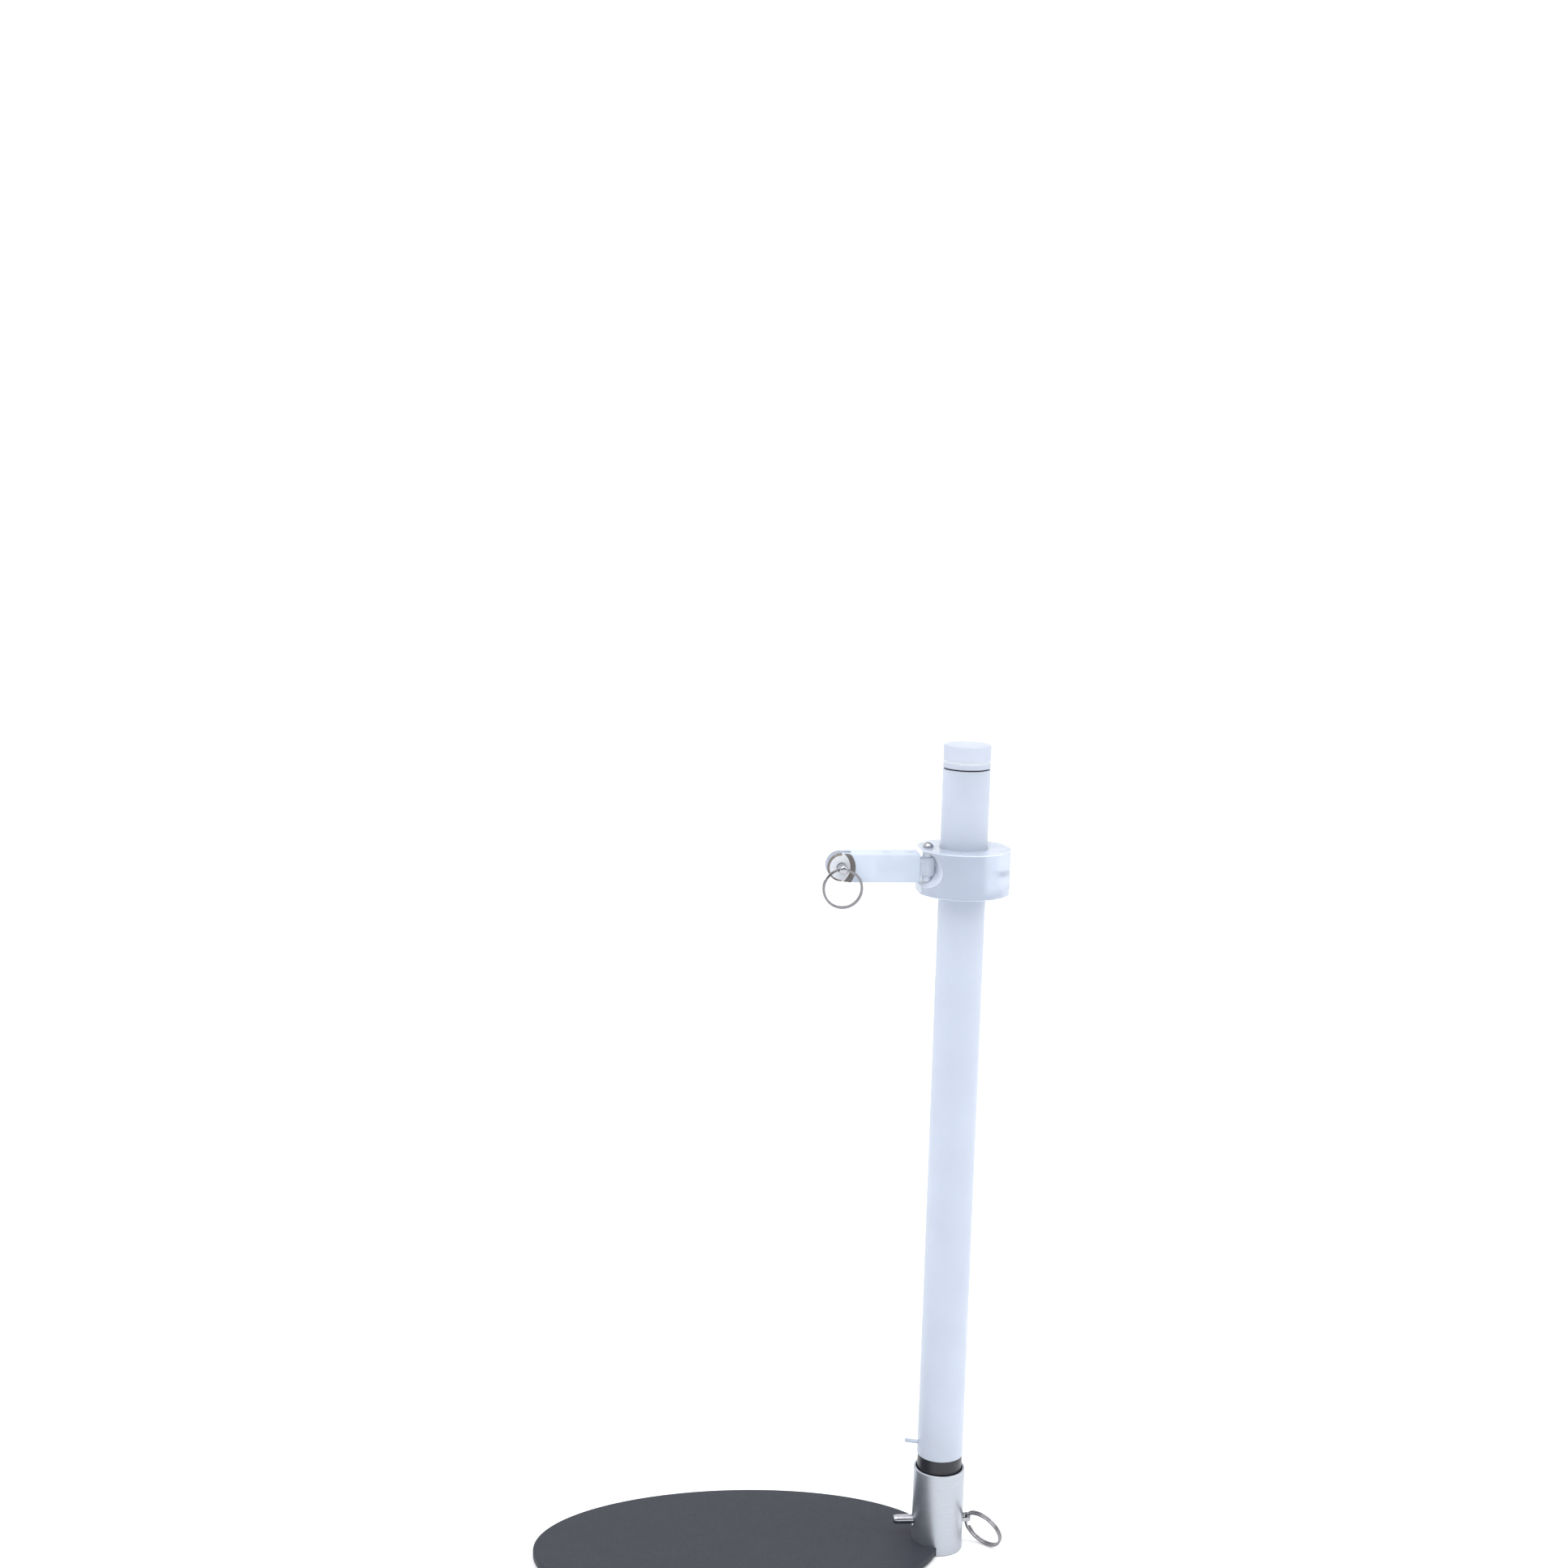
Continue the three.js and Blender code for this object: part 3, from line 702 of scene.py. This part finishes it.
def pin_shape(radius, low, high):
    """A pull pin about Z, with its head low down, its nose at the top and the ring's hole at z = 0."""
    shaft = turned([
        (0, low),
        (radius, low, PIN_HEAD_FILLET),
        (radius, high - PIN_NOSE_LENGTH, 0.3),
        (radius - PIN_NOSE_TAPER, high, 0.7),
        (0, high),
    ])
    mouth = RING_HOLE_RADIUS + RING_HOLE_FLARE
    neck = radius - RING_HOLE_FLARE
    hole = turned([
        (0, -BEYOND), (mouth, -BEYOND), (mouth, -radius), (RING_HOLE_RADIUS, -neck),
        (RING_HOLE_RADIUS, neck), (mouth, radius), (mouth, BEYOND), (0, BEYOND),
    ], COARSE)
    return cut(shaft, along_x(hole))


def make_fork_pin():
    low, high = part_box("fork_pin")
    hole = Vector(joints["fork_ring_swing"]["pos_m"])
    shape = pin_shape(size("fork_pin").x / 2, (low.y - hole.y) / MM, (high.y - hole.y) / MM)
    piece_for("fork_pin", shape, hole, Matrix.Rotation(-math.pi / 2, 4, "X"))


def make_socket_pin():
    low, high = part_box("socket_pin")
    hole = Vector(joints["socket_ring_swing"]["pos_m"])
    axis = Vector(joints["socket_ring_swing"]["axis"]).normalized()
    shape = pin_shape(size("socket_pin").z / 2, (hole.x - high.x) / MM, (hole.x - low.x) / MM)
    nose = Vector((-1, 0, 0))
    turn = Matrix((axis, nose.cross(axis), nose)).transposed().to_4x4()
    piece_for("socket_pin", shape, hole, turn)


def ring_shape(radius):
    """Nearly two turns of flat wire, side by side, whose ends stand a little proud of each other."""
    start = RING_GAP / 2
    end = 4 * math.pi - RING_GAP / 2
    crossing = 2 * math.pi - RING_GAP / 2
    half_width = RING_WIRE_WIDTH / 2
    half_height = RING_WIRE_HEIGHT / 2
    section = filleted([
        (-half_width, -half_height, RING_WIRE_CORNER), (half_width, -half_height, RING_WIRE_CORNER),
        (half_width, half_height, RING_WIRE_CORNER), (-half_width, half_height, RING_WIRE_CORNER),
    ], closed=True, steps=3)
    bm = bmesh.new()
    rows = []
    for k in range(RING_STEPS + 1):
        angle = start + (end - start) * k / RING_STEPS
        share = min(1, max(0, (angle - crossing) / RING_GAP))
        climb = share * share * (3 - 2 * share)
        from_end = min(angle - start, end - angle)
        splay = RING_SPLAY * max(0, 1 - from_end / RING_SPLAY_REACH) ** 2
        level = (2 * climb - 1) * (half_height + RING_COIL_GAP / 2 + splay)
        rows.append([
            bm.verts.new(((radius + a) * math.cos(angle), (radius + a) * math.sin(angle), level + b))
            for a, b in section
        ])
    count = len(section)
    for here, there in zip(rows, rows[1:]):
        for i in range(count):
            j = (i + 1) % count
            bm.faces.new((here[i], there[i], there[j], here[j]))
    bm.faces.new(rows[0])
    bm.faces.new(list(reversed(rows[-1])))
    bmesh.ops.recalc_face_normals(bm, faces=bm.faces)
    return scratch(bm)


def make_ring(node, joint, crossing_degrees):
    """A split ring hanging from its pin's hole, with its wire's ends turned away from the hole."""
    hole = Vector(joints[joint]["pos_m"])
    hinge = Vector(joints[joint]["axis"]).normalized()
    centre = middle(node)
    arm = centre - hole
    outward = arm.normalized()
    face = outward.cross(hinge)
    turn = Matrix((outward, hinge, face)).transposed().to_4x4()
    turn = turn @ Matrix.Rotation(math.radians(crossing_degrees), 4, "Z")
    piece_for(node, ring_shape(arm.length / MM), centre, turn, material=WIRE)


# ---------------------------------------------------------------- collar and its screws


def make_collar():
    """A ring with a flat, a round-bottomed slot for the knuckle, and holes for its screws."""
    low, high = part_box("collar")
    centre = Vector((MAST.x, 0, (low.z + high.z) / 2))
    half = size("collar").z / 2
    radius = (high.x - MAST.x) / MM
    flat = (low.x - MAST.x) / MM
    pivot = (pivot_point() - centre) / MM
    body = tube(
        COLLAR_BORE_RADIUS, radius, half,
        foot_fillets=(0.5, 0.8), rim_fillets=(0.5, 0.8), segments=COLLAR_SIDES,
    )
    slot = shifted(along_y(rod(SLOT_RADIUS, -BEYOND, BEYOND, FINE)), -SLOT_CENTRE, 0, pivot.z)
    mouth = block(
        (-BEYOND, -BEYOND, pivot.z - SLOT_RADIUS),
        (-SLOT_CENTRE, BEYOND, pivot.z + SLOT_RADIUS),
    )
    face = block((-BEYOND, -BEYOND, -BEYOND), (flat, BEYOND, BEYOND))
    side_hole = along_x(rod(size("set_screw").y / 2 + CLEARANCE, radius / 2, BEYOND))
    shifted(side_hole, z=(middle("set_screw").z - centre.z) / MM)
    pivot_hole = shifted(rod(PIVOT_HOLE_RADIUS, -BEYOND, BEYOND), pivot.x)
    insert = size("pivot_insert").x / 2 + FIT_GAP
    insert_hole = shifted(rod(insert, -BEYOND, pivot.z - LIP_FACE + CLEARANCE), pivot.x)
    pocket = shifted(rod(POCKET_RADIUS, -LIP_FACE, LIP_FACE), pivot.x, 0, pivot.z)
    grooves = [friction_groove(name, centre) for name in ("friction_ring_upper", "friction_ring_lower")]
    body = cut(body, slot, mouth, face, side_hole, pivot_hole, insert_hole, pocket, *grooves)
    piece = piece_for("collar", body, centre, material=SATIN)

    def on_edge_highlight(at, normal):
        slanting = 0.2 < abs(normal.z) < 0.98
        return abs(at.z) > half - COLLAR_POLISH_AND_HIGHLIGHT_REACH and slanting

    def on_slot_painted_light(at, normal):
        from_wall = abs(math.hypot(at.x + SLOT_CENTRE, at.z - pivot.z) - SLOT_RADIUS)
        level = abs(normal.y) < 0.1
        return from_wall < SLOT_PAINTED_LIGHT_REACH and level

    # The rounded top and bottom edges get the polished finish and its painted highlight
    refinish(piece, POLISHED_HIGHLIGHT, on_edge_highlight)
    # The slot's wall gets the paler acrylic, painted light against the shade in the slot
    refinish(piece, SLOT_PAINTED_LIGHT, on_slot_painted_light)


def friction_groove(name, centre):
    """A cutter for the groove round a friction ring, which reaches 1 mm into the bore."""
    low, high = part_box(name)
    outer = size(name).x / 2 + FIT_GAP
    inner = COLLAR_BORE_RADIUS - 1
    bottom = (low.z - centre.z) / MM - FIT_GAP
    top = (high.z - centre.z) / MM + FIT_GAP
    return turned([(inner, bottom), (outer, bottom), (outer, top), (inner, top)], closed=True)


def make_set_screw():
    """A grub screw with a hexagon socket in its outer end."""
    half = size("set_screw").x / 2
    radius = size("set_screw").y / 2
    body = turned(
        [(0, -half), (radius - 0.5, -half), *threaded(radius, -half + 0.4, half - 0.2),
         (radius - 0.35, half), (0, half)],
        COARSE,
    )
    key = rod(SET_SCREW_KEY_RADIUS, half - SET_SCREW_KEY_DEPTH, BEYOND, HEXAGON)
    piece_for("set_screw", cut(body, key), middle("set_screw"), Matrix.Rotation(math.pi / 2, 4, "Y"))


def make_pivot_screw():
    """A button-head screw, threaded in the insert and plain above it."""
    centre = middle("pivot_screw")
    half = size("pivot_screw").z / 2
    head = size("pivot_screw").x / 2
    shank = PIVOT_SHANK_RADIUS
    crown = half - PIVOT_HEAD_HEIGHT
    insert_top = (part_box("pivot_insert")[1].z - centre.z) / MM
    body = turned(
        [(0, -half), (shank - 0.3, -half), *threaded(shank, -half + 0.2, insert_top),
         (shank, insert_top + 0.1), (shank, crown), (head, crown, 0.15), (head, crown + 0.9, 0.5),
         (head * 0.72, crown + 1.95, 0.6), (head * 0.6, half), (0, half)],
        COARSE,
    )
    key = rod(PIVOT_KEY_RADIUS, half - PIVOT_KEY_DEPTH, BEYOND, HEXAGON)
    piece_for("pivot_screw", cut(body, key), centre)


# ---------------------------------------------------------------- arm


def pivot_point():
    return Vector(joints["arm_yaw"]["pos_m"])


def dowel_holes():
    """Cutters for the dowels' holes, open at the top, about the pivot."""
    pivot = pivot_point()
    holes = []
    for name in DOWELS:
        foot = (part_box(name)[0].z - pivot.z) / MM - FIT_GAP
        hole = rod(size(name).x / 2 + FIT_GAP, foot, BEYOND)
        holes.append(shifted(hole, (middle(name).x - pivot.x) / MM))
    return holes


def make_dowels():
    for name in DOWELS:
        half = size(name).z / 2
        radius = size(name).x / 2
        dowel = turned([
            (0, -half), (radius, -half, 0.3), (radius, half - 0.5, 0.25),
            (radius * 0.62, half - 0.08, 0.8), (0, half),
        ])
        piece_for(name, dowel, middle(name), material=OPAL)


def make_knuckle():
    """A barrel on the pivot, with a web and a round tenon that run into the arm."""
    pivot = pivot_point()
    low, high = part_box("knuckle")
    radius = (high.x - pivot.x) / MM
    half = size("knuckle").z / 2
    arm_start = (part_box("arm")[1].x - pivot.x) / MM
    tenon_end = (low.x - pivot.x) / MM
    tenon_root = KNUCKLE_OVERLAP - radius
    barrel = rod(radius, -half, half, MEDIUM, KNUCKLE_FILLET)
    web = block(
        (arm_start + CLEARANCE, -NECK_HALF_WIDTH, -half + KNUCKLE_FILLET),
        (0, NECK_HALF_WIDTH, half - KNUCKLE_FILLET),
    )
    tenon = along_x(turned([
        (0, tenon_end), (TENON_RADIUS, tenon_end, 0.5), (TENON_RADIUS, tenon_root), (0, tenon_root),
    ]))
    body = joined(barrel, web, tenon)
    pivot_hole = rod(PIVOT_HOLE_RADIUS, -BEYOND, BEYOND)
    # The knuckle gets the paler acrylic, painted light against the shade inside the collar's slot
    piece_for("knuckle", cut(body, pivot_hole, *dowel_holes()), pivot, material=SLOT_PAINTED_LIGHT)


def ear_cutter():
    """A round cutter whose rounded corner leaves the cove behind the fork's ears."""
    return turned([(0, 0), (COVE_REACH, 0, COVE_RADIUS), (COVE_REACH, BEYOND), (0, BEYOND)], FINE)


def ear_chamfer(reach, rim, side):
    """A cutter that breaks the outer edge of one ear, round the fork's end only."""
    face = EAR_WIDTH / 2
    inner = rim - EAR_CHAMFER
    wedge = turned(
        [(inner, face), (rim + 1, face - EAR_CHAMFER - 1), (rim + 1, face + 1), (inner, face + 1)],
        FINE,
        closed=True,
    )
    ahead = block((0, -BEYOND, -BEYOND), (BEYOND, BEYOND, BEYOND))
    return shifted(rotated(cut(wedge, ahead), -90 * side, "X"), reach)


def make_arm():
    """A square bar with a round end, cut into a fork whose ears are thinned behind coves."""
    pivot = pivot_point()
    half = size("arm").z / 2
    start = (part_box("arm")[1].x - pivot.x) / MM
    reach = (joints["fork_ring_swing"]["pos_m"][0] - pivot.x) / MM
    arc = [math.pi / 2 + math.pi * k / ARM_END_STEPS for k in range(ARM_END_STEPS + 1)]
    outline = [(start, -half), (start, half)]
    outline += [(reach + half * math.cos(a), half * math.sin(a)) for a in arc]
    bar = rotated(slab(outline, -half, half, ARM_EDGE), 90, "X")
    tenon_end = (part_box("knuckle")[0].x - pivot.x) / MM - CLEARANCE
    tenon = along_x(rod(TENON_RADIUS + CLEARANCE, tenon_end, 0))
    gap = along_y(rod(FORK_GAP_RADIUS, -FORK_GAP / 2, FORK_GAP / 2, FINE))
    shifted(gap, -FORK_GAP_BOTTOM - FORK_GAP_RADIUS)
    cove = reach - COVE_OFFSET
    ear = EAR_WIDTH / 2
    back = shifted(along_y(ear_cutter()), cove, ear)
    front = shifted(rotated(ear_cutter(), 90, "X"), cove, -ear)
    pin = size("fork_pin").x / 2 + CLEARANCE
    pin_hole = shifted(along_y(rod(pin, -BEYOND, BEYOND)), reach)
    chamfers = [ear_chamfer(reach, half, side) for side in (-1, 1)]
    body = cut(bar, tenon, gap, back, front, pin_hole, *chamfers, *dowel_holes())
    piece = piece_for("arm", body, pivot, material=OPAL)
    cove_edge = cove + COVE_REACH + 0.1

    def on_cove_painted_shade(at, normal):
        in_cove = ear + 0.01 < abs(at.y) < half - 0.02
        on_rim = at.x < reach + 1 and abs(normal.y) < 0.9 and abs(at.y) > FORK_GAP / 2
        in_hole = math.hypot(at.x - reach, at.z) < pin + 0.1
        return at.x < cove_edge and (in_cove or on_rim) and not in_hole

    def on_ear(at, normal):
        return at.x < cove_edge and abs(abs(at.y) - ear) < 0.02

    # The coves and the rim round the fork's end get the dark brown painted shade
    refinish(piece, COVE_PAINTED_SHADE, on_cove_painted_shade)
    refinish(piece, EAR, on_ear)


make_base()
make_socket()
make_mast()
make_peg()
make_cap()
make_bottom_plug()
make_fork_pin()
make_socket_pin()
make_ring("fork_pin_ring", "fork_ring_swing", crossing_degrees=215)
make_ring("socket_pin_ring", "socket_ring_swing", crossing_degrees=170)
make_collar()
make_set_screw()
make_pivot_screw()
make_dowels()
make_knuckle()
make_arm()

# The CAD nodes get the same finishes, and those without a finer piece are seen
for name, node in nodes.items():
    node.data.materials.clear()
    node.data.materials.append(FINISH[slots[name]])
    node.data.shade_smooth()
    node.data.set_sharp_from_angle(angle=SMOOTH_ANGLE)


# ---------------------------------------------------------------- stage, in metres

FLOOR_REACH = 12
TARGET = (0.05, 0, 0.2)
BACKDROP_STRENGTH = 1.2
ROOM_STRENGTH = 0.16
ROOM_RISE = 0.9
ROOM_START = -0.75
ROOM_END = -0.1


def make_floor():
    mesh = bpy.data.meshes.new("floor")
    corners = [(x * FLOOR_REACH, y * FLOOR_REACH, 0) for x, y in ((-1, -1), (1, -1), (1, 1), (-1, 1))]
    mesh.from_pydata(corners, [], [(0, 1, 2, 3)])
    floor = bpy.data.objects.new("floor", mesh)
    bpy.context.scene.collection.objects.link(floor)
    mat = Nodes("floor")
    mat.paint(mat.mottled((0.93, 0.935, 0.94), 400, 0.01))
    mat.set(Roughness=0.9, Specular_IOR_Level=0.2)
    mesh.materials.append(mat.material)


def hang(name, data, aim, place=(0, 0, 0)):
    """Adds a lamp that shines along aim."""
    lamp = bpy.data.objects.new(name, data)
    lamp.location = place
    lamp.rotation_mode = "QUATERNION"
    lamp.rotation_quaternion = aim.to_track_quat("-Z", "Y")
    bpy.context.scene.collection.objects.link(lamp)


def area_light(name, place, width, power):
    data = bpy.data.lights.new(name, "AREA")
    data.shape = "SQUARE"
    data.size = width
    data.energy = power
    hang(name, data, Vector(TARGET) - Vector(place), place)


def sun_light(name, towards, strength, spread_degrees):
    """Soft light from far away, which comes from the towards direction."""
    data = bpy.data.lights.new(name, "SUN")
    data.energy = strength
    data.angle = math.radians(spread_degrees)
    hang(name, data, -Vector(towards))


def make_world():
    """A bright backdrop and ceiling, and a dim room on the camera's side, which only reflections show."""
    world = bpy.data.worlds.new("studio")
    world.use_nodes = True
    tree = world.node_tree
    sky = tree.nodes["Background"]
    direction = tree.nodes.new("ShaderNodeTexCoord").outputs["Generated"]
    parts = tree.nodes.new("ShaderNodeSeparateXYZ")
    tree.links.new(direction, parts.inputs["Vector"])
    depth = tree.nodes.new("ShaderNodeMath")
    depth.operation = "MULTIPLY_ADD"
    tree.links.new(parts.outputs["Z"], depth.inputs[0])
    depth.inputs[1].default_value = ROOM_RISE
    tree.links.new(parts.outputs["Y"], depth.inputs[2])
    room = tree.nodes.new("ShaderNodeMapRange")
    room.interpolation_type = "SMOOTHSTEP"
    room.inputs["From Min"].default_value = ROOM_START
    room.inputs["From Max"].default_value = ROOM_END
    room.inputs["To Min"].default_value = ROOM_STRENGTH
    room.inputs["To Max"].default_value = BACKDROP_STRENGTH
    tree.links.new(depth.outputs["Value"], room.inputs["Value"])
    seen = tree.nodes.new("ShaderNodeLightPath").outputs["Is Camera Ray"]
    strength = tree.nodes.new("ShaderNodeMapRange")
    tree.links.new(seen, strength.inputs["Value"])
    tree.links.new(room.outputs["Result"], strength.inputs["To Min"])
    strength.inputs["To Max"].default_value = BACKDROP_STRENGTH
    tree.links.new(strength.outputs["Result"], sky.inputs["Strength"])
    sky.inputs["Color"].default_value = (0.985, 0.99, 1.0, 1)
    bpy.context.scene.world = world


make_floor()
area_light("key", (-0.7, -1.2, 2.0), width=1.4, power=16)
area_light("fill", (1.7, -0.5, 1.3), width=1.2, power=8)
sun_light("ceiling", (0.1, -0.25, 1), strength=0.9, spread_degrees=70)
make_world()
bpy.context.scene.view_settings.view_transform = "Standard"
